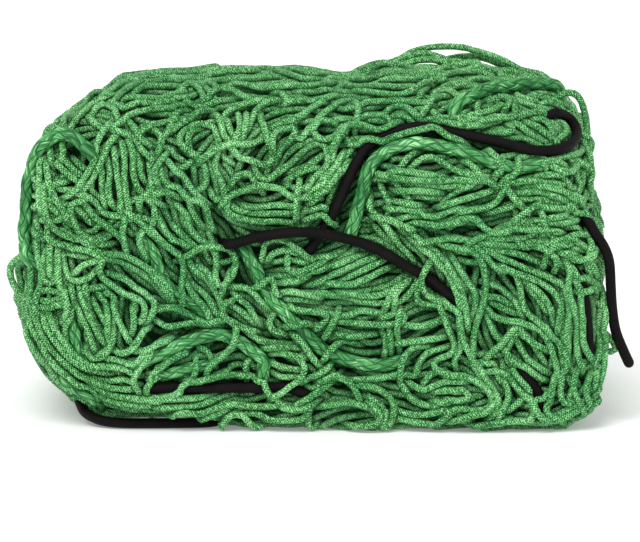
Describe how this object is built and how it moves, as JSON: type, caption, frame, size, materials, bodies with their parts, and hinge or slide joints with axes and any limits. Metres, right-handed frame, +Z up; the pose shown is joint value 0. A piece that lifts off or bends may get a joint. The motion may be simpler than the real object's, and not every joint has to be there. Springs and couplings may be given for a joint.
{
  "type": "tennis net",
  "caption": "Knotless green sports net folded into a brick-shaped bundle, with its braided border rope and a black elastic cord.",
  "frame": {"origin": "bottom centre of the folded stack, on the surface it lies on", "axes": "+X along the folds to the right, +Y from the front face to the back, +Z up"},
  "size_m": [0.2954, 0.1493, 0.1655],
  "materials": {
    "netting": "matt knitted polyethylene twine with small glints",
    "border_rope": "satin braided split-film rope",
    "elastic_cord": "matt woven cover over a rubber core"
  },
  "bodies": {
    "root": {"border_rope_base_corner": "border_rope", "border_rope_centre_diagonal": "border_rope", "border_rope_left_diagonal": "border_rope", "border_rope_left_loop": "border_rope", "border_rope_left_lower": "border_rope", "border_rope_lower_bend": "border_rope", "border_rope_lower_strand": "border_rope", "border_rope_top_run": "border_rope", "border_rope_upper_bend": "border_rope", "elastic_cord_floor_run": "elastic_cord", "elastic_cord_front_arc": "elastic_cord", "elastic_cord_lower_front": "elastic_cord", "elastic_cord_lower_right": "elastic_cord", "elastic_cord_right_edge": "elastic_cord", "elastic_cord_tail": "elastic_cord", "elastic_cord_upper_run": "elastic_cord", "net_fold_bottom_back": "netting", "net_fold_bottom_front": "netting", "net_fold_middle_back": "netting", "net_fold_middle_front": "netting", "net_fold_top_back": "netting", "net_fold_top_front": "netting"}
  },
  "joints": []
}
